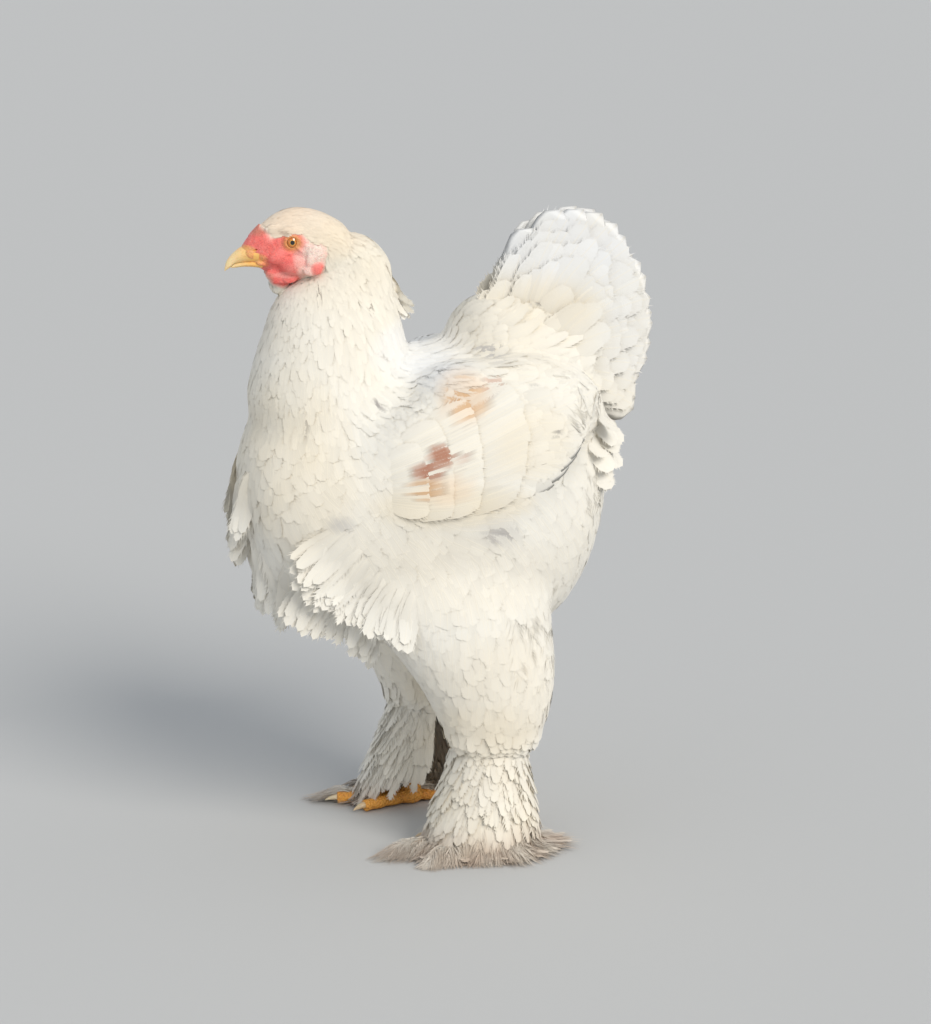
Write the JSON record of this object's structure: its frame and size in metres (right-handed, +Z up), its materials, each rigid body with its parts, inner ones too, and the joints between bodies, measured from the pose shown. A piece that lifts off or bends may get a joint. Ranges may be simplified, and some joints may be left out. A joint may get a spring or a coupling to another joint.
{
  "type": "brahma chicken model",
  "caption": "A standing brahma chicken at life size: full cream-white plumage, feathered shanks and feet, small comb. A still display model, one rigid body.",
  "frame": {"origin": "on the floor, under the middle of the whole bird's box", "axes": "+Z is up. The bird faces -X. Its left side is at -Y and its right side at +Y."},
  "size_m": [0.4112, 0.2764, 0.6075],
  "materials": {
    "plumage": "soft matt feathers, white to cream with small rust and grey marks",
    "face_skin": "bare red skin, finely bumped, slightly waxy",
    "lobe_skin": "soft bare skin, whitish pink above and red below",
    "beak_horn": "yellow horn, satin",
    "eye": "orange iris, black pupil, wet gloss",
    "claw_horn": "pale horn, satin",
    "scales": "orange-yellow scaly skin under white feathers, stained brownish near the floor"
  },
  "bodies": {
    "root": {"beak_lower": "beak_horn", "beak_upper": "beak_horn", "claw_back_left": "claw_horn", "claw_back_right": "claw_horn", "claw_inner_left": "claw_horn", "claw_inner_right": "claw_horn", "claw_middle_left": "claw_horn", "claw_middle_right": "claw_horn", "claw_outer_left": "claw_horn", "claw_outer_right": "claw_horn", "comb": "face_skin", "earlobe_left": "lobe_skin", "earlobe_right": "lobe_skin", "eye_left": "eye", "eye_right": "eye", "foot_left": "scales", "foot_right": "scales", "head": "face_skin", "neck": "plumage", "shank_left": "plumage", "shank_right": "plumage", "tail": "plumage", "thigh_left": "plumage", "thigh_right": "plumage", "torso": "plumage", "wattle_left": "face_skin", "wattle_right": "face_skin", "wing_left": "plumage", "wing_right": "plumage"}
  },
  "joints": []
}
